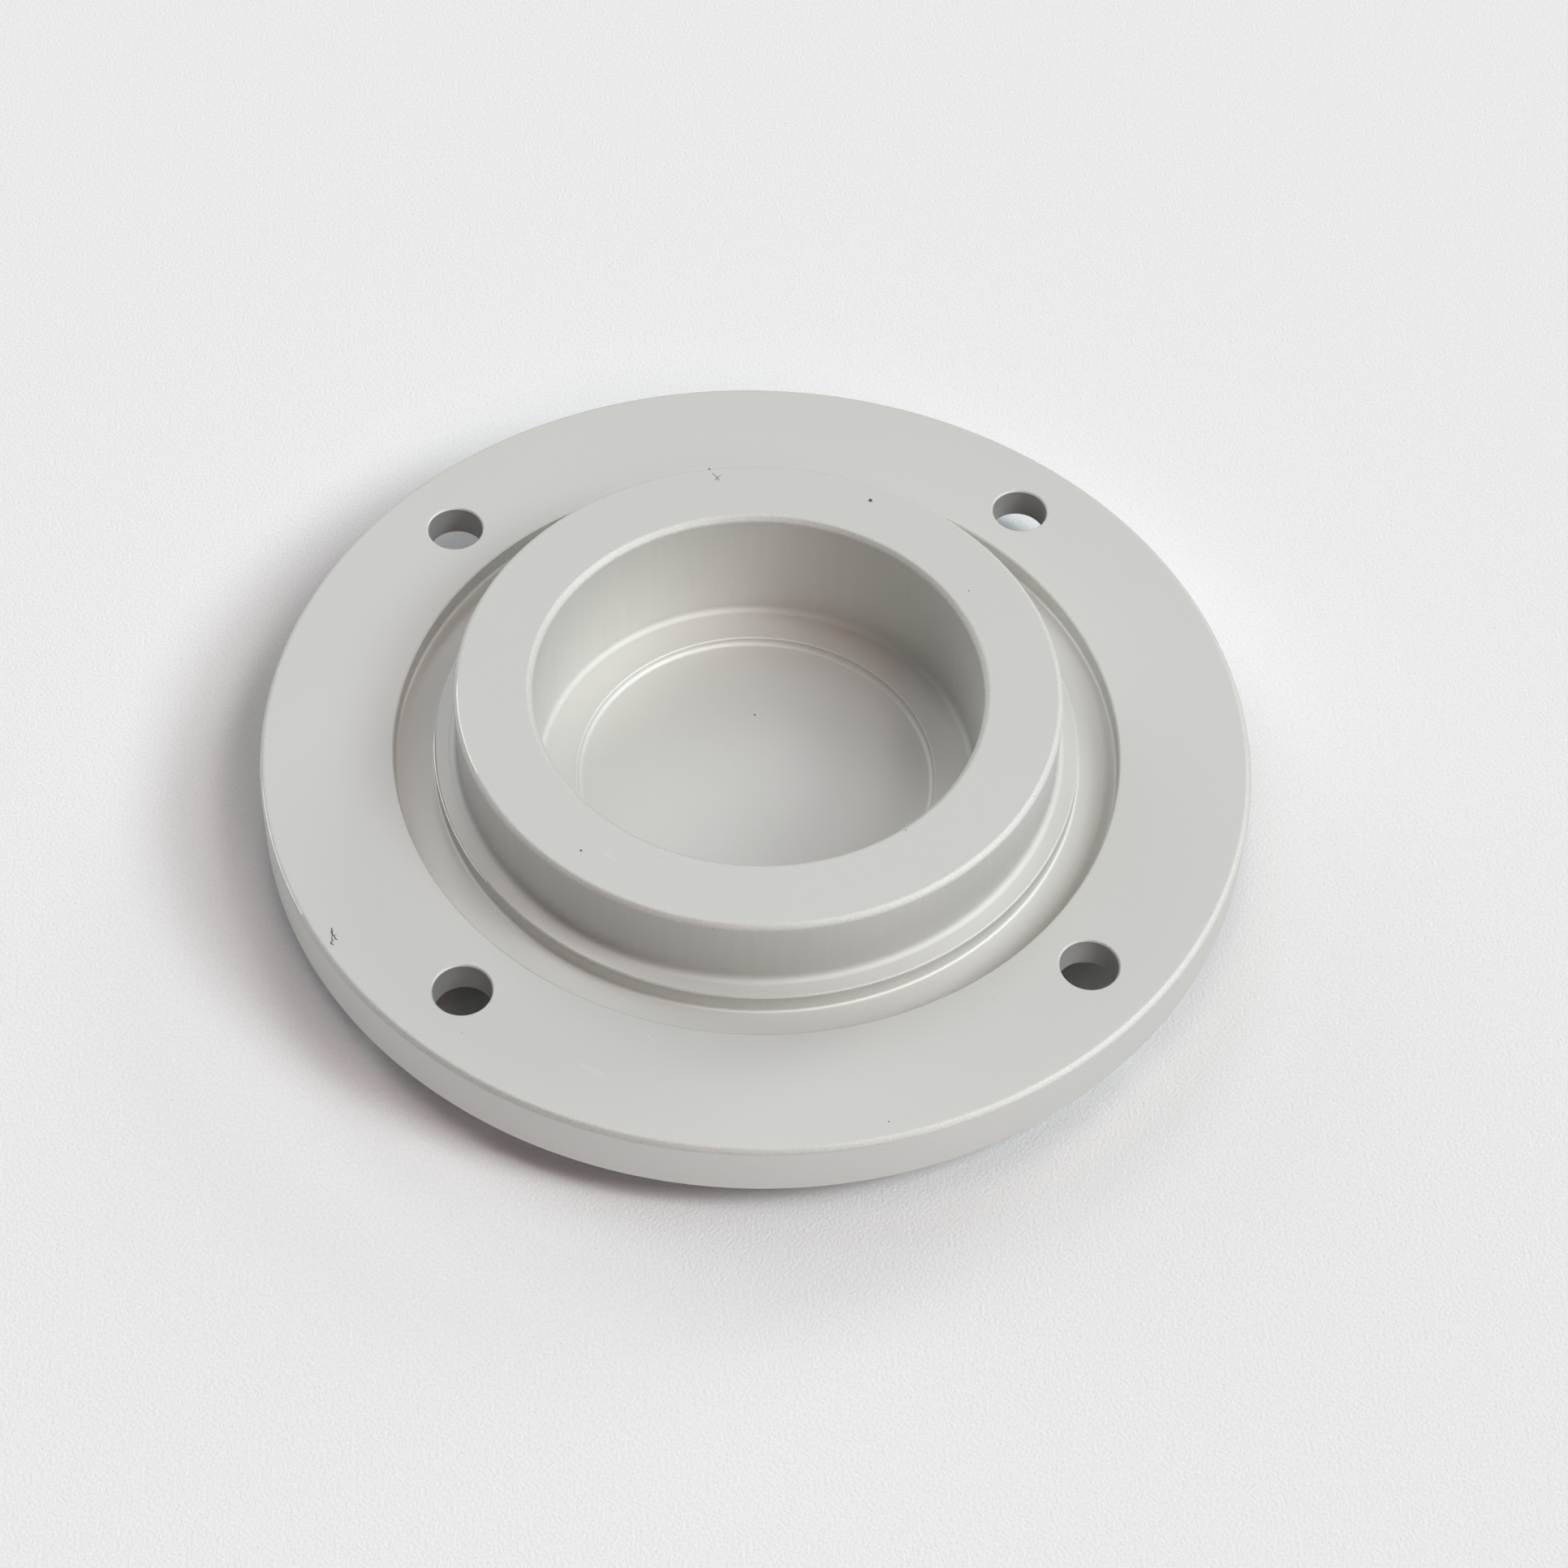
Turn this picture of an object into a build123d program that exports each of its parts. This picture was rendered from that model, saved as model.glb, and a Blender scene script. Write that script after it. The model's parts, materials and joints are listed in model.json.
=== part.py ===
from build123d import *
import os

# Bearing flange, turned from one piece of aluminium. A round plate carries a raised hub, and a ball
# bearing sits in a blind pocket in the hub. A groove for a seal ring runs round the hub's foot.
# The Z axis is the turning axis and points out of the pocket. The origin lies on it in the plane of
# the plate's mating face, so the hub stands above z = 0, and the plate and the boss hang below it.

# Pocket for a ball bearing 35 mm across and 11 mm wide
bearing_diameter = 35.0
bearing_width = 11.0
bearing_stands_out = 0.2  # the bearing's end shows above the hub, so that the machine clamps it
pocket_mouth_chamfer = 0.45
pocket_corner_radius = 0.6

# Relief in the pocket's floor, which keeps the inner ring free of the metal
shoulder_width = 3.25  # the ring of floor that carries the bearing's outer ring
relief_depth = 0.6
relief_edge_break = 0.1
floor_thickness = 3.0

# Hub
hub_wall = 6.15
hub_height = 6.4
hub_end_chamfer = 0.4
hub_foot_radius = 0.4

# Groove for the seal ring, beyond a narrow ledge round the hub
ledge_width = 1.7
groove_width = 3.2
groove_depth = 1.65
groove_edge_break = 0.1

# Plate
plate_thickness = 5.0
plate_top_chamfer = 0.4
plate_bottom_chamfer = 0.2

# Bolt holes, for flat-headed M4 screws that come from below
bolt_count = 4
bolt_start_angle = 45.0
bolt_land = 4.65  # from the groove's outer wall to the circle of the bolts
bolt_margin = 5.8  # from the circle of the bolts to the rim
bolt_hole_diameter = 4.5
bolt_edge_break = 0.12
screw_head_diameter = 9.0
screw_head_angle = 90.0

# Boss under the plate, which closes the pocket
boss_wall = 4.0
boss_end_chamfer = 0.4

# Radii, worked out from the bearing outwards
bore_radius = bearing_diameter / 2
relief_radius = bore_radius - shoulder_width
boss_radius = bore_radius + boss_wall
hub_radius = bore_radius + hub_wall
groove_inner_radius = hub_radius + ledge_width
groove_outer_radius = groove_inner_radius + groove_width
bolt_circle_radius = groove_outer_radius + bolt_land
plate_radius = bolt_circle_radius + bolt_margin

# Heights, worked out from the plate's mating face
shoulder_z = hub_height - (bearing_width - bearing_stands_out)
relief_z = shoulder_z - relief_depth
boss_z = relief_z - floor_thickness

# Edges of the section that are broken by a small chamfer, each with its corner and its size
broken_edges = [
    ((relief_radius, shoulder_z), relief_edge_break),
    ((bore_radius, hub_height), pocket_mouth_chamfer),
    ((hub_radius, hub_height), hub_end_chamfer),
    ((groove_inner_radius, 0), groove_edge_break),
    ((groove_outer_radius, 0), groove_edge_break),
    ((plate_radius, 0), plate_top_chamfer),
    ((plate_radius, -plate_thickness), plate_bottom_chamfer),
    ((boss_radius, boss_z), boss_end_chamfer),
]

# Inner corners of the section that the turning tool leaves round
rounded_corners = [
    ((bore_radius, shoulder_z), pocket_corner_radius),
    ((hub_radius, 0), hub_foot_radius),
]

with BuildPart() as bearing_flange:
    # Half of the section through the axis, from the middle of the pocket's floor out to the rim and
    # back under the plate to the middle of the boss
    with BuildSketch(Plane.XZ) as half_section:
        with BuildLine():
            Polyline(
                (0, relief_z),
                (relief_radius, relief_z),
                (relief_radius, shoulder_z),
                (bore_radius, shoulder_z),
                (bore_radius, hub_height),
                (hub_radius, hub_height),
                (hub_radius, 0),
                (groove_inner_radius, 0),
                (groove_inner_radius, -groove_depth),
                (groove_outer_radius, -groove_depth),
                (groove_outer_radius, 0),
                (plate_radius, 0),
                (plate_radius, -plate_thickness),
                (boss_radius, -plate_thickness),
                (boss_radius, boss_z),
                (0, boss_z),
                close=True,
            )
        make_face()
        for corner, size in broken_edges:
            chamfer(half_section.vertices().sort_by_distance(corner)[0], length=size)
        for corner, radius in rounded_corners:
            fillet(half_section.vertices().sort_by_distance(corner)[0], radius=radius)
    revolve(axis=Axis.Z)

    # Bolt holes, sunk from the underside so that the screws' heads lie flush with it
    underside = Plane(origin=(0, 0, -plate_thickness), x_dir=(1, 0, 0), z_dir=(0, 0, -1))
    with Locations(underside):
        with PolarLocations(bolt_circle_radius, bolt_count, start_angle=bolt_start_angle):
            CounterSinkHole(
                radius=bolt_hole_diameter / 2,
                counter_sink_radius=screw_head_diameter / 2,
                depth=plate_thickness,
                counter_sink_angle=screw_head_angle,
            )
    bolt_rims = bearing_flange.edges(Select.LAST).group_by(Axis.Z)[-1]
    chamfer(bolt_rims, length=bolt_edge_break)

bearing_flange.part.label = "bearing_flange"

os.makedirs("parts", exist_ok=True)
export_step(bearing_flange.part, "parts/bearing_flange.step")
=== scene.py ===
import bpy
import bmesh
import json
import math
from mathutils import Matrix, Vector


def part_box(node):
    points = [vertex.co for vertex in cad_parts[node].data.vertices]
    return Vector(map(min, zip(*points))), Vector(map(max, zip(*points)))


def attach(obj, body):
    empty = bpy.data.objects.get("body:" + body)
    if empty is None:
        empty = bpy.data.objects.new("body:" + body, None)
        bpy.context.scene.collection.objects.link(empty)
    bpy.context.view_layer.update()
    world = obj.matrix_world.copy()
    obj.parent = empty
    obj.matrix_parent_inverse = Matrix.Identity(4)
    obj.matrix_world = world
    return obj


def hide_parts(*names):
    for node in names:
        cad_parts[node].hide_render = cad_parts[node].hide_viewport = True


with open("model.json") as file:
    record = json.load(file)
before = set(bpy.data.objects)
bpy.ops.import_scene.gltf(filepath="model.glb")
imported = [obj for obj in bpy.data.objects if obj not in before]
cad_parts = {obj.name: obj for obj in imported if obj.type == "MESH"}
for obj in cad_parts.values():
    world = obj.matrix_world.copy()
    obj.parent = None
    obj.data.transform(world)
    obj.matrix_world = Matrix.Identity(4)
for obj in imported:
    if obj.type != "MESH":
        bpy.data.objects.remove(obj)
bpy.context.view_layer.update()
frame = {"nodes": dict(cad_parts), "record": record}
print("frame loaded:", ", ".join(sorted(frame["nodes"])))

mm = 0.001
mounts = {m["name"]: m for m in frame["record"]["mounts"]}
cadLow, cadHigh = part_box("bearing_flange")


# The flange's own sizes, in mm. What the frame knows is read from it, the rest repeats the drawing.
flange = {
    "rimRadius": cadHigh.x / mm,
    "hubTop": cadHigh.z / mm,
    "bossEnd": cadLow.z / mm,
    "boreRadius": mounts["bearing_seat"]["dims"]["r_mm"],
    "hubRadius": mounts["spigot"]["dims"]["r_mm"],
    "plateThickness": 5.0,
    "shoulderDepth": 4.4,  # below the plate's face, as the next one
    "reliefDepth": 5.0,
    "reliefRadius": 14.25,
    "ledgeWidth": 1.7,
    "grooveWidth": 3.2,
    "grooveDepth": 1.65,
    "bossRadius": 21.5,
    "mouthChamfer": 0.42,
    "pocketCorner": 0.6,
    "hubChamfer": 0.35,
    "hubFoot": 0.65,
    "reliefBreak": 0.1,
    "reliefCorner": 0.45,
    "grooveBreak": 0.12,
    "grooveCorner": 0.25,
    "rimChamfer": 0.35,
    "rimUnderChamfer": 0.2,
    "bossChamfer": 0.4,
    "bossFoot": 0.3,
    "softEdge": 0.05,  # what blasting leaves of a sharp edge
    "wornEdge": 0.38,  # what handling leaves of the outer ones
    "landMargin": 0.3,  # from a groove, rim or boss to where the flat face starts
    "steps": 400,  # round the axis
    "arcStep": 12.0,  # degrees at most between two points of a rounding
    "hollowFrom": 0.5,  # an inner rounding larger than this has the finish of a hollow
}
hubTop = flange["hubTop"]

boltHoles = {
    "circleRadius": mounts["bolts"]["dims"]["pcd_mm"] / 2,
    "count": mounts["bolts"]["dims"]["count"],
    "startAngle": 45.0,
    "radius": mounts["bolts"]["dims"]["hole_r_mm"],
    "edgeBreak": 0.12,
    "headRadius": 4.5,
    "softEdge": 0.04,
    "landMargin": 0.2,
    "steps": 96,
}

finishes = ["face", "edge", "hollow", "shadedUnderside"]  # in the order of the body's materials


def cutCorners(corners):
    # corners are (radius, height, chamfer, rounding); a chamfer makes two corners of one,
    # and the first of the two says that an edge comes after it
    points = []
    for i, (r, z, chamfer, rounding) in enumerate(corners):
        here = Vector((r, z))
        if chamfer == 0:
            points.append((here, rounding, None))
            continue
        for other, finishNext in ((corners[i - 1], "edge"), (corners[i + 1], None)):
            toward = (Vector(other[:2]) - here).normalized()
            points.append((here + toward * chamfer, rounding, finishNext))
    return points


def profileLine(corners):
    # the line of the half section, clockwise round the metal, with an arc at each corner that has
    # a rounding, and for each point the finish of the stretch after it where it isn't a plain one
    points = cutCorners(corners)
    line = []
    for i, (here, rounding, finishNext) in enumerate(points):
        if rounding == 0:
            line.append((here, finishNext))
            continue
        before = (points[i - 1][0] - here).normalized()
        after = (points[i + 1][0] - here).normalized()
        turn = math.pi - before.angle(after)
        reach = rounding * math.tan(turn / 2)  # from the corner to where the arc starts
        centre = here + (before + after).normalized() * (rounding / math.cos(turn / 2))
        start = here + before * reach - centre
        side = 1 if start.cross(here + after * reach - centre) > 0 else -1
        pieces = max(3, math.ceil(math.degrees(turn) / flange["arcStep"]))
        hollow = "hollow" if rounding > flange["hollowFrom"] else None
        arcFinish = "edge" if side < 0 else hollow
        for k in range(pieces + 1):
            point = centre + Matrix.Rotation(side * turn * k / pieces, 2) @ start
            line.append((point, arcFinish if k < pieces else finishNext))
    return line


def spin(mesh, line, steps, finish="face", centre=(0.0, 0.0)):
    # turns a line about the upright axis through centre, and gives back its first and last ring
    rings = []
    for (r, z), _ in line:
        if r == 0:
            rings.append([mesh.verts.new(Vector((*centre, z)) * mm)] * steps)
            continue
        ring = []
        for k in range(steps):
            angle = 2 * math.pi * k / steps
            place = (centre[0] + r * math.cos(angle), centre[1] + r * math.sin(angle), z)
            ring.append(mesh.verts.new(Vector(place) * mm))
        rings.append(ring)
    for inner, outer, (here, own), (there, _) in zip(rings, rings[1:], line, line[1:]):
        onTop = max(abs(here.y), abs(there.y)) < 0.001  # mm, so in the plate's own face
        look = own or ("face" if onTop else finish)
        for k in range(steps):
            n = (k + 1) % steps
            corners = dict.fromkeys((inner[k], inner[n], outer[n], outer[k]))  # three at the axis
            face = mesh.faces.new(list(corners))
            face.material_index = finishes.index(look)
    return rings[0], rings[-1]


def fillFlat(mesh, rings, finish):
    # a flat face between an outer ring and the rings inside it
    edges = []
    for ring in rings:
        edges += [mesh.edges.get(pair) for pair in zip(ring, ring[1:] + ring[:1])]
    made = bmesh.ops.triangle_fill(mesh, edges=edges, use_beauty=True)["geom"]
    for face in [part for part in made if isinstance(part, bmesh.types.BMFace)]:
        face.material_index = finishes.index(finish)


def pocketHubAndGroove(mesh):
    # from the middle of the pocket's floor out to the bolts' land
    f = flange
    soft = f["softEdge"]
    grooveInner = f["hubRadius"] + f["ledgeWidth"]
    grooveOuter = grooveInner + f["grooveWidth"]
    corners = [
        (0.0, -f["reliefDepth"], 0, 0),
        (f["reliefRadius"], -f["reliefDepth"], 0, f["reliefCorner"]),
        (f["reliefRadius"], -f["shoulderDepth"], f["reliefBreak"], soft / 2),
        (f["boreRadius"], -f["shoulderDepth"], 0, f["pocketCorner"]),
        (f["boreRadius"], f["hubTop"], f["mouthChamfer"], f["wornEdge"]),
        (f["hubRadius"], f["hubTop"], f["hubChamfer"], f["wornEdge"]),
        (f["hubRadius"], 0.0, 0, f["hubFoot"]),
        (grooveInner, 0.0, f["grooveBreak"], soft),
        (grooveInner, -f["grooveDepth"], 0, f["grooveCorner"]),
        (grooveOuter, -f["grooveDepth"], 0, f["grooveCorner"]),
        (grooveOuter, 0.0, f["grooveBreak"], soft),
        (grooveOuter + f["landMargin"], 0.0, 0, 0),
    ]
    return spin(mesh, profileLine(corners), f["steps"])


def rim(mesh):
    f = flange
    corners = [
        (f["rimRadius"] - f["rimChamfer"] - f["landMargin"], 0.0, 0, 0),
        (f["rimRadius"], 0.0, f["rimChamfer"], f["wornEdge"]),
        (f["rimRadius"], -f["plateThickness"], f["rimUnderChamfer"], f["softEdge"]),
        (f["rimRadius"] - f["rimUnderChamfer"] - f["landMargin"], -f["plateThickness"], 0, 0),
    ]
    return spin(mesh, profileLine(corners), f["steps"])


def boss(mesh):
    f = flange
    corners = [
        (f["bossRadius"] + f["bossFoot"] + f["landMargin"], -f["plateThickness"], 0, 0),
        (f["bossRadius"], -f["plateThickness"], 0, f["bossFoot"]),
        (f["bossRadius"], f["bossEnd"], f["bossChamfer"], f["softEdge"]),
        (0.0, f["bossEnd"], 0, 0),
    ]
    # the boss takes the darker finish of painted shade
    return spin(mesh, profileLine(corners), f["steps"], "shadedUnderside")


def boltHole(mesh, number):
    # a plain hole that opens into a cone for the screw's head below
    h = boltHoles
    angle = math.radians(h["startAngle"] + 360 / h["count"] * number)
    centre = (h["circleRadius"] * math.cos(angle), h["circleRadius"] * math.sin(angle))
    under = -flange["plateThickness"]
    coneTop = under + h["headRadius"] - h["radius"]  # the cone's sides stand at 45 degrees
    corners = [
        (h["headRadius"] + h["landMargin"], under, 0, 0),
        (h["headRadius"], under, 0, h["softEdge"]),
        (h["radius"], coneTop, 0, h["softEdge"]),
        (h["radius"], 0.0, h["edgeBreak"], h["softEdge"]),
        (h["radius"] + h["edgeBreak"] + h["landMargin"], 0.0, 0, 0),
    ]
    # the hole's walls and cone take the darker finish of painted shade
    return spin(mesh, profileLine(corners), h["steps"], "shadedUnderside", centre)


def smoothObject(name, mesh):
    bmesh.ops.recalc_face_normals(mesh, faces=mesh.faces)
    data = bpy.data.meshes.new(name)
    mesh.to_mesh(data)
    mesh.free()
    data.polygons.foreach_set("use_smooth", [True] * len(data.polygons))
    thing = bpy.data.objects.new(name, data)
    bpy.context.scene.collection.objects.link(thing)
    return thing


def flangeBody():
    mesh = bmesh.new()
    _, topLand = pocketHubAndGroove(mesh)
    topRim, underRim = rim(mesh)
    underBoss, _ = boss(mesh)
    holes = [boltHole(mesh, number) for number in range(boltHoles["count"])]
    fillFlat(mesh, [topRim, topLand] + [top for _, top in holes], "face")
    # the plate's lower face takes the darker finish of painted shade
    fillFlat(mesh, [underRim, underBoss] + [under for under, _ in holes], "shadedUnderside")
    body = smoothObject("flangeBody", mesh)
    weighted = body.modifiers.new("flat faces stay flat", "WEIGHTED_NORMAL")
    weighted.weight = 100
    return body


# Blasted aluminium under a thin clear anodised skin. Each finish is (colour, colour where the skin is
# a touch thicker, least and most roughness, sparkle). The plate's lower face, the boss and the bolt
# holes are drawn darker, as painted shade under the plate and in the holes. Lengths are in mm.
blastedFinish = {
    "face": ((0.750, 0.744, 0.717), (0.740, 0.734, 0.707), (0.70, 0.74), 0.01),
    "edge": ((0.765, 0.759, 0.730), (0.755, 0.749, 0.720), (0.75, 0.79), 0.07),
    "hollow": ((0.750, 0.744, 0.717), (0.740, 0.734, 0.707), (0.76, 0.80), 0.01),
    # painted shade: the plate's lower face, the boss and the bolt holes' walls are drawn darker for the shade
    # under the plate
    "shadedUnderside": ((0.57, 0.565, 0.555), (0.55, 0.545, 0.535), (0.62, 0.68), 0.02),
    "patchSize": 14.0,
    "grainSize": 0.12,
    "grainHeight": 0.003,
    "grainRange": (0.3, 0.7),  # what the noise seldom leaves
    "streakWidth": 0.5,  # faint upright streaks on the inner walls
    "streakStretch": 0.06,  # the streaks' width as a share of their length
    "streakDepth": 0.03,
    "steepest": 0.3,  # the upward part of its normal with which a face still counts as a wall
    "innerWithin": 30.0,  # the inner walls' radius
    "hubWallsFrom": 20.0,  # from here out they are the hub's and the groove's
    # painted light: each group of walls below is drawn a set amount lighter, standing in for light that the
    # lamps don't give
    "borePaintedLight": 0.04,
    "hubPaintedLight": 0.01,
    "rimPaintedLight": 0.12,  # painted light on the plate's own wall, outside all of them
    "edgeTint": (0.1, 0.1, 0.1),  # what is left of the sheen at a grazing angle
    # light handling marks, as (amount, width, places), above zero lighter and below zero darker
    "marks": [
        (0.08, 0.17, [(-12.62, -16.09, hubTop), (-12.15, -16.42, hubTop), (-11.75, -16.90, hubTop)]),
        (0.06, 0.15, [(-8.50, -17.10, hubTop), (-8.30, -17.18, hubTop)]),
        (0.07, 0.18, [(-10.21, -27.92, 0.0), (-9.81, -28.37, 0.0), (-9.48, -28.90, 0.0)]),
        (0.035, 0.18, [(0.54, -29.47, 0.0), (1.30, -29.73, 0.0), (2.05, -30.06, 0.0)]),
        (0.035, 0.55, [(-14.90, -30.65, 0.0), (-13.28, -31.67, 0.0)]),
        (-0.22, 0.22, [(-8.10, -22.10, 6.05), (-7.60, -22.30, 5.90)]),
        (-0.16, 0.16, [(-4.95, -23.12, 6.00), (-4.80, -23.15, 5.80)]),
        (-0.10, 0.25, [(17.00, 15.90, hubTop), (17.25, 16.10, hubTop)]),
        (-0.25, 0.16, [(-1.28, 18.20, 6.25), (-1.18, 18.15, 6.10)]),
    ],
}


# Shorthands for material nodes. Where they take a value, it's a number, a vector or another node's output.
def feed(tree, socket, value):
    if isinstance(value, bpy.types.NodeSocket):
        tree.links.new(value, socket)
    else:
        socket.default_value = value


def maths(tree, operation, *values):
    node = tree.nodes.new("ShaderNodeMath")
    node.operation = operation
    for socket, value in zip(node.inputs, values):
        feed(tree, socket, value)
    return node.outputs["Value"]


def vectorMaths(tree, operation, *vectors):
    node = tree.nodes.new("ShaderNodeVectorMath")
    node.operation = operation
    for socket, vector in zip(node.inputs, vectors):
        feed(tree, socket, vector)
    oneNumber = operation in ("DOT_PRODUCT", "DISTANCE", "LENGTH")
    return node.outputs["Value" if oneNumber else "Vector"]


def scaled(tree, vector, factor):
    node = tree.nodes.new("ShaderNodeVectorMath")
    node.operation = "SCALE"
    feed(tree, node.inputs[0], vector)
    feed(tree, node.inputs["Scale"], factor)
    return node.outputs["Vector"]


def mapped(tree, value, before, after, kind="LINEAR"):
    # from one (low, high) range to another
    node = tree.nodes.new("ShaderNodeMapRange")
    node.interpolation_type = kind
    node.inputs["From Min"].default_value, node.inputs["From Max"].default_value = before
    node.inputs["To Min"].default_value, node.inputs["To Max"].default_value = after
    feed(tree, node.inputs["Value"], value)
    return node.outputs["Result"]


def noise(tree, place, size, detail):
    node = tree.nodes.new("ShaderNodeTexNoise")
    node.inputs["Scale"].default_value = 1 / (size * mm)
    node.inputs["Detail"].default_value = detail
    feed(tree, node.inputs["Vector"], place)
    return node.outputs["Fac"]


def between(tree, share, first, second):
    # a colour from the first one to the second
    node = tree.nodes.new("ShaderNodeMix")
    node.data_type = "RGBA"
    node.inputs["A"].default_value = (*first, 1)
    node.inputs["B"].default_value = (*second, 1)
    feed(tree, node.inputs["Factor"], share)
    return node.outputs["Result"]


def raised(tree, shader, grain, height):
    node = tree.nodes.new("ShaderNodeBump")
    node.inputs["Distance"].default_value = height * mm
    feed(tree, node.inputs["Height"], grain)
    feed(tree, shader.inputs["Normal"], node.outputs["Normal"])


def newMaterial(name):
    material = bpy.data.materials.new(name)
    material.use_nodes = True
    tree = material.node_tree
    return material, tree, tree.nodes["Principled BSDF"]


def markMask(tree, place, start, end, width):
    # 1 on the line from start to end, and down to 0 at half its width from it
    start, end = Vector(start) * mm, Vector(end) * mm
    along = (end - start).normalized()
    away = vectorMaths(tree, "SUBTRACT", place, start)
    held = tree.nodes.new("ShaderNodeClamp")
    held.inputs["Max"].default_value = (end - start).length
    feed(tree, held.inputs["Value"], vectorMaths(tree, "DOT_PRODUCT", away, along))
    foot = scaled(tree, along, held.outputs["Result"])
    gap = vectorMaths(tree, "DISTANCE", away, foot)
    return mapped(tree, gap, (width / 2 * mm, 0.0), (0.0, 1.0), "SMOOTHSTEP")


def markShade(tree, place):
    # every mark together: how much lighter or darker the metal is at a place
    total = 1.0
    for amount, width, line in blastedFinish["marks"]:
        for start, end in zip(line, line[1:]):
            mask = markMask(tree, place, start, end, width)
            total = maths(tree, "MULTIPLY", total, maths(tree, "MULTIPLY_ADD", mask, amount, 1.0))
    return total


def wallStreaksAndPaintedLight(tree, place, normal):
    # fine upright streaks on the inner walls, and painted light: how much lighter each group of walls is
    # drawn, standing in for light that the lamps don't give; 1 on the other faces
    look = blastedFinish
    flattened = vectorMaths(tree, "MULTIPLY", place, (1.0, 1.0, look["streakStretch"]))
    upright = tree.nodes.new("ShaderNodeSeparateXYZ")
    feed(tree, upright.inputs["Vector"], normal)
    wall = mapped(tree, maths(tree, "ABSOLUTE", upright.outputs["Z"]), (look["steepest"], 0.0), (0.0, 1.0))
    reach = vectorMaths(tree, "LENGTH", flattened)
    innerWall = maths(tree, "MULTIPLY", wall, maths(tree, "LESS_THAN", reach, look["innerWithin"] * mm))
    rimWall = maths(tree, "SUBTRACT", wall, innerWall)
    outer = maths(tree, "GREATER_THAN", reach, look["hubWallsFrom"] * mm)
    streaks = noise(tree, flattened, look["streakWidth"], 3)
    bore, deep = look["borePaintedLight"], look["streakDepth"]
    streaks = mapped(tree, streaks, (0.0, 1.0), (bore - deep, bore + deep))
    innerWallStreaksAndPaintedLight = maths(tree, "MULTIPLY_ADD", outer, look["hubPaintedLight"] - bore, streaks)
    rimWallPaintedLight = maths(tree, "MULTIPLY_ADD", rimWall, look["rimPaintedLight"], 1.0)
    return maths(tree, "MULTIPLY_ADD", innerWallStreaksAndPaintedLight, innerWall, rimWallPaintedLight)


def aluminium(finish):
    look = blastedFinish
    colour, patchColour, roughness, sparkle = look[finish]
    material, tree, shader = newMaterial(finish + "Aluminium")
    shader.inputs["Metallic"].default_value = 1.0
    shader.inputs["Specular Tint"].default_value = (*look["edgeTint"], 1)
    coordinates = tree.nodes.new("ShaderNodeTexCoord")
    place, normal = coordinates.outputs["Object"], coordinates.outputs["Normal"]
    grain = noise(tree, place, look["grainSize"], 2)
    shade = mapped(tree, grain, look["grainRange"], (1 - sparkle, 1 + sparkle))
    shade = maths(tree, "MULTIPLY", shade, markShade(tree, place))
    # the painted light on the walls is multiplied in here
    shade = maths(tree, "MULTIPLY", shade, wallStreaksAndPaintedLight(tree, place, normal))
    tint = between(tree, noise(tree, place, look["patchSize"], 4), patchColour, colour)
    feed(tree, shader.inputs["Base Color"], scaled(tree, tint, shade))
    feed(tree, shader.inputs["Roughness"], mapped(tree, grain, (0.0, 1.0), roughness))
    raised(tree, shader, grain, look["grainHeight"])
    return material


body = flangeBody()
for finish in finishes:
    body.data.materials.append(aluminium(finish))
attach(body, "root")
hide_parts("bearing_flange")
print("flange turned:", len(body.data.vertices), "vertices")


# Fine burrs left on three edges, as (radius, height, first angle, last angle, thickness). Their metal
# is drawn brighter than the flange's, a painted highlight along them.
burrs = {
    "lines": [
        (23.33, hubTop - 0.02, 176, 200, 0.055),
        (25.38, -0.03, 176, 212, 0.065),
        (38.80, -0.14, 184, 204, 0.05),
    ],
    "step": 2,  # degrees
    # painted highlight: brighter than the flange's metal so that the burrs glint
    "colour": (0.93, 0.925, 0.90),
    "roughness": 0.6,
}

# The cross-section of a burr or a fibre
threadShape = {
    "sides": 6,
    "endWidth": 0.5,
    "unevenness": 0.25,
}


def thread(mesh, line, thickness):
    # along a line in mm, thinner at both ends and at every other point
    shape = threadShape
    rings = []
    for i, here in enumerate(line):
        along = (line[min(i + 1, len(line) - 1)] - line[max(i - 1, 0)]).normalized()
        across = along.cross(Vector((0, 0, 1)))
        share = shape["endWidth"] if i in (0, len(line) - 1) else 1 - shape["unevenness"] * (i % 2)
        ring = []
        for k in range(shape["sides"]):
            a = 2 * math.pi * k / shape["sides"]
            outward = across * math.cos(a) + Vector((0, 0, math.sin(a)))
            ring.append(mesh.verts.new((here + outward * thickness * share) * mm))
        rings.append(ring)
    for a, b in zip(rings, rings[1:]):
        for k in range(shape["sides"]):
            n = (k + 1) % shape["sides"]
            mesh.faces.new((a[k], a[n], b[n], b[k]))
    mesh.faces.new(rings[0][::-1])
    mesh.faces.new(rings[-1])


def burrPaintedGlint():
    material, tree, shader = newMaterial("burrPaintedGlint")
    shader.inputs["Base Color"].default_value = (*burrs["colour"], 1)
    shader.inputs["Metallic"].default_value = 1.0
    shader.inputs["Roughness"].default_value = burrs["roughness"]
    return material


def burrsOnEdges():
    mesh = bmesh.new()
    for radius, height, first, last, thickness in burrs["lines"]:
        turns = [math.radians(turn) for turn in range(first, last + 1, burrs["step"])]
        thread(mesh, [Vector((radius * math.cos(t), radius * math.sin(t), height)) for t in turns], thickness)
    return smoothObject("burrs", mesh)


burrLines = burrsOnEdges()
burrLines.data.materials.append(burrPaintedGlint())
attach(burrLines, "root")
print("burrs left:", len(burrs["lines"]))


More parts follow.
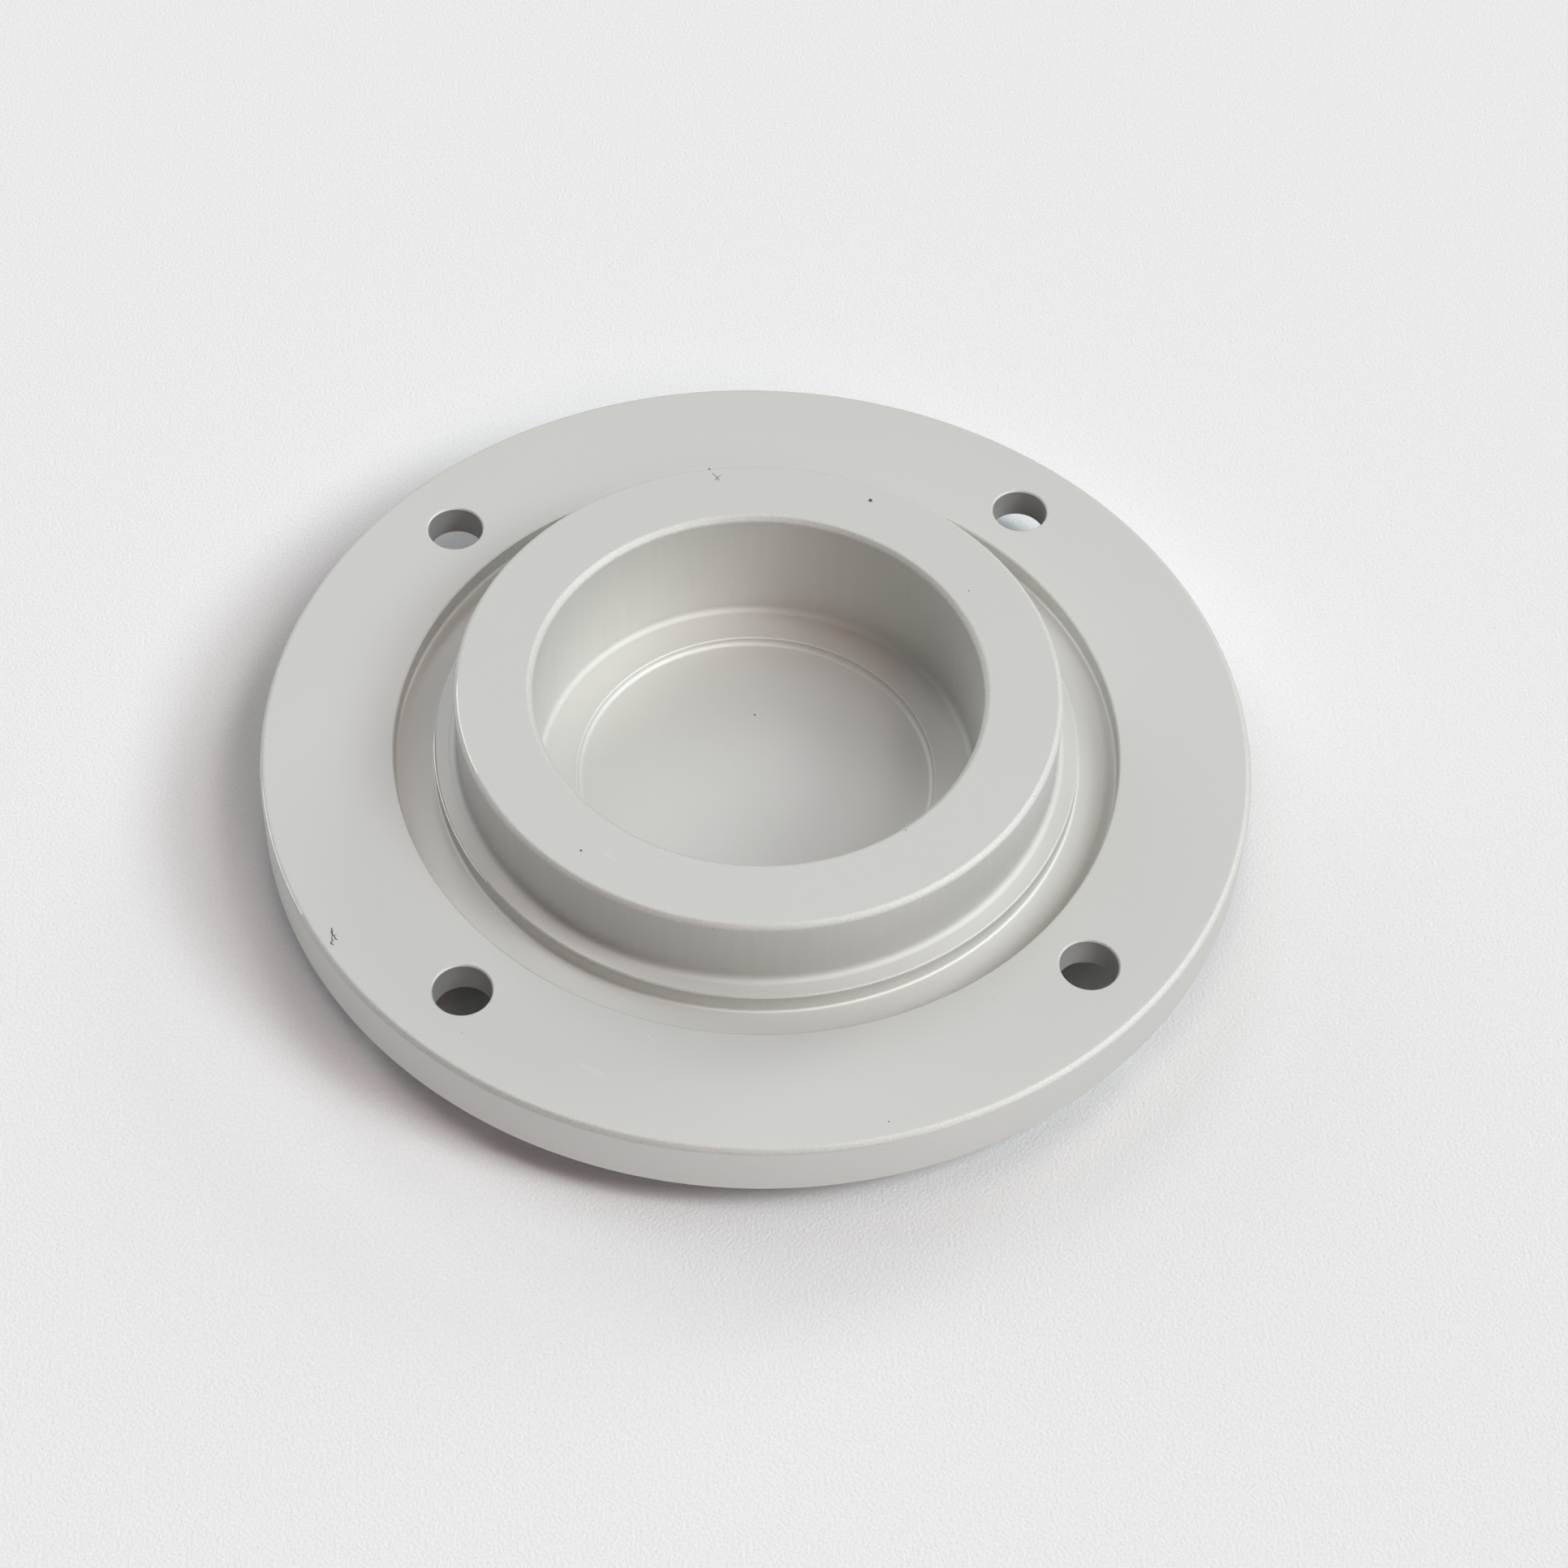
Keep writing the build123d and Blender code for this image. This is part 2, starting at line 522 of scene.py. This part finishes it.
# Dirt on the flange: a short fibre near the rim, two finer ones on the hub, and a few specks. Fibres
# are (face, thickness, places) and specks (face, x, y, radius), in mm on the face that is named.
dust = {
    "faces": {"plate": 0.0, "hub": hubTop, "pocket": -flange["reliefDepth"]},
    "fibres": [
        ("plate", 0.055, [(-33.19, -17.28), (-33.16, -17.50), (-33.17, -17.74), (-33.10, -17.97)]),
        ("plate", 0.035, [(-33.10, -17.97), (-33.18, -18.24), (-33.10, -18.44), (-33.26, -18.69)]),
        ("plate", 0.045, [(-33.26, -18.69), (-33.15, -18.76), (-33.04, -18.85)]),
        ("plate", 0.035, [(-33.09, -17.94), (-32.95, -18.04), (-32.92, -18.28), (-32.73, -18.38)]),
        ("plate", 0.020, [(-33.01, -17.96), (-32.78, -17.91)]),
        ("hub", 0.022, [(-2.32, 22.70), (-2.08, 22.32), (-1.78, 21.85)]),
        ("hub", 0.022, [(-1.61, 22.48), (-1.95, 22.20), (-2.17, 21.87)]),
    ],
    "fibreLift": 0.8,  # the middle of a fibre above its face, as a share of its thickness
    "specks": [
        ("hub", 10.29, 19.09, 0.14),
        ("hub", -2.56, 23.17, 0.07),
        ("hub", -14.30, -15.78, 0.07),
        ("hub", 10.04, -15.01, 0.05),
        ("hub", 17.27, 8.89, 0.05),
        ("plate", -23.56, -27.32, 0.035),
        ("plate", 15.91, -26.34, 0.03),
        ("plate", 7.16, -36.75, 0.05),
        ("pocket", 0.32, 6.41, 0.07),
    ],
    "speckLift": 0.3,  # and of a speck, as a share of its radius
    "flatness": 0.45,  # a speck's height as a share of its width
    "outOfRound": 0.15,
    "turn": 1.1,  # from one speck to the next, in radians
    "colour": (0.055, 0.048, 0.042),
    "lightest": 2.0,  # times the colour
    "fluffSize": 0.15,
    "roughness": 0.9,
}


def dustSpeck(mesh, place, radius, number):
    # a flattened grain, each a little out of round
    stretch = Matrix.Diagonal((1.0 + dust["outOfRound"] * (number % 3), 1.0, dust["flatness"], 1.0))
    spot = Matrix.Translation(place * mm) @ Matrix.Rotation(number * dust["turn"], 4, "Z") @ stretch
    bmesh.ops.create_icosphere(mesh, subdivisions=2, radius=radius * mm, matrix=spot)


def dustOnFlange():
    mesh = bmesh.new()
    for face, thickness, places in dust["fibres"]:
        height = dust["faces"][face] + thickness * dust["fibreLift"]
        thread(mesh, [Vector((x, y, height)) for x, y in places], thickness)
    for number, (face, x, y, radius) in enumerate(dust["specks"]):
        height = dust["faces"][face] + radius * dust["speckLift"]
        dustSpeck(mesh, Vector((x, y, height)), radius, number)
    return smoothObject("dust", mesh)


def darkDust():
    material, tree, shader = newMaterial("darkDust")
    shader.inputs["Roughness"].default_value = dust["roughness"]
    fluff = noise(tree, tree.nodes.new("ShaderNodeTexCoord").outputs["Object"], dust["fluffSize"], 2)
    light = [c * dust["lightest"] for c in dust["colour"]]
    feed(tree, shader.inputs["Base Color"], between(tree, fluff, dust["colour"], light))
    return material


specks = dustOnFlange()
specks.data.materials.append(darkDust())
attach(specks, "root")
print("dust laid:", len(dust["fibres"]), "fibres and", len(dust["specks"]), "specks")


# The sheet of pale paper that the flange lies on, which goes on past the edge of most views
paper = {
    "size": 8000.0,  # mm, as the other lengths
    "colour": (0.775, 0.77, 0.77),
    "roughness": 0.9,
    "shine": 0.1,
    "grainSize": 0.25,
    "grainHeight": 0.07,
    "grainShade": 0.08,  # how much lighter and darker the paper is in it
}


def palePaper():
    material, tree, shader = newMaterial("palePaper")
    shader.inputs["Roughness"].default_value = paper["roughness"]
    shader.inputs["Specular IOR Level"].default_value = paper["shine"]
    grain = noise(tree, tree.nodes.new("ShaderNodeTexCoord").outputs["Object"], paper["grainSize"], 3)
    dark = [c * (1 - paper["grainShade"]) for c in paper["colour"]]
    light = [c * (1 + paper["grainShade"]) for c in paper["colour"]]
    feed(tree, shader.inputs["Base Color"], between(tree, grain, dark, light))
    raised(tree, shader, grain, paper["grainHeight"])
    return material


def paperFloor():
    half = paper["size"] / 2
    data = bpy.data.meshes.new("paperFloor")
    sides = ((-half, -half), (half, -half), (half, half), (-half, half))
    corners = [Vector((x, y, flange["bossEnd"])) * mm for x, y in sides]
    data.from_pydata(corners, [], [(0, 1, 2, 3)])
    data.materials.append(palePaper())
    floor = bpy.data.objects.new("paperFloor", data)
    bpy.context.scene.collection.objects.link(floor)
    return floor


paperFloor()
print("paper laid")


# Plain soft light: large lamps far off. Each is (azimuth and elevation that its light comes from,
# spread, all in degrees, strength, colour).
lamps = {
    "midFront": (292, 38, 18, 0.52, (1.00, 0.85, 0.85)),
    "upperFrontRight": (315, 56, 18, 0.33, (1.00, 0.73, 0.70)),
    "midRightFront": (338, 38, 18, 1.43, (0.93, 1.00, 1.00)),
    "upperRightFront": (338, 56, 18, 0.80, (0.90, 0.96, 1.00)),
    "midRight": (0, 38, 18, 0.28, (0.54, 0.94, 1.00)),
    "lowBackRight": (45, 20, 18, 0.61, (1.00, 0.99, 0.98)),
    "midBack": (90, 38, 18, 0.27, (0.98, 0.99, 1.00)),
    "lowBackLeft": (135, 20, 30, 0.75, (0.96, 1.00, 0.99)),
    "midBackLeft": (135, 48, 30, 0.56, (0.89, 0.94, 1.00)),
    "ceiling": (0, 90, 20, 0.28, (1.00, 0.79, 0.69)),
}
room = {"colour": (0.0, 0.0, 0.0)}


def softLamp(name, azimuth, elevation, spread, strength, colour):
    data = bpy.data.lights.new(name, "SUN")
    data.angle = math.radians(spread)
    data.energy = strength
    data.color = colour
    light = bpy.data.objects.new(name, data)
    bpy.context.scene.collection.objects.link(light)
    a, e = math.radians(azimuth), math.radians(elevation)
    source = Vector((math.cos(a) * math.cos(e), math.sin(a) * math.cos(e), math.sin(e)))
    light.rotation_mode = "QUATERNION"
    light.rotation_quaternion = source.to_track_quat("Z", "Y")


def darkRoom():
    world = bpy.data.worlds.new("room")
    world.use_nodes = True
    world.node_tree.nodes["Background"].inputs["Color"].default_value = (*room["colour"], 1)
    bpy.context.scene.world = world


for name, lamp in lamps.items():
    softLamp(name, *lamp)
darkRoom()
print("light set:", len(lamps), "lamps")


# Where the photograph was taken from
view = {
    "aim": (1.765, -4.945, 0.0),  # mm
    "distance": 275.05,
    "azimuth": -5.942,  # degrees round from straight in front, as the next two
    "elevation": 50.853,
    "roll": 2.528,
    "lens": 80.954,
    "sensor": 36.0,
    "clip": (0.01, 20.0),  # m
}


def photoCamera():
    data = bpy.data.cameras.new("photoCamera")
    data.lens = view["lens"]
    data.sensor_width = view["sensor"]
    camera = bpy.data.objects.new("photoCamera", data)
    bpy.context.scene.collection.objects.link(camera)
    a, e = math.radians(view["azimuth"]), math.radians(view["elevation"])
    back = Vector((math.sin(a) * math.cos(e), -math.cos(a) * math.cos(e), math.sin(e)))
    camera.location = (Vector(view["aim"]) + back * view["distance"]) * mm
    upright = back.to_track_quat("Z", "Y").to_matrix()
    camera.rotation_euler = (upright @ Matrix.Rotation(math.radians(view["roll"]), 3, "Z")).to_euler()
    data.clip_start, data.clip_end = view["clip"]
    return camera


bpy.context.scene.camera = photoCamera()
bpy.context.scene.view_settings.view_transform = "Standard"
print("camera set")
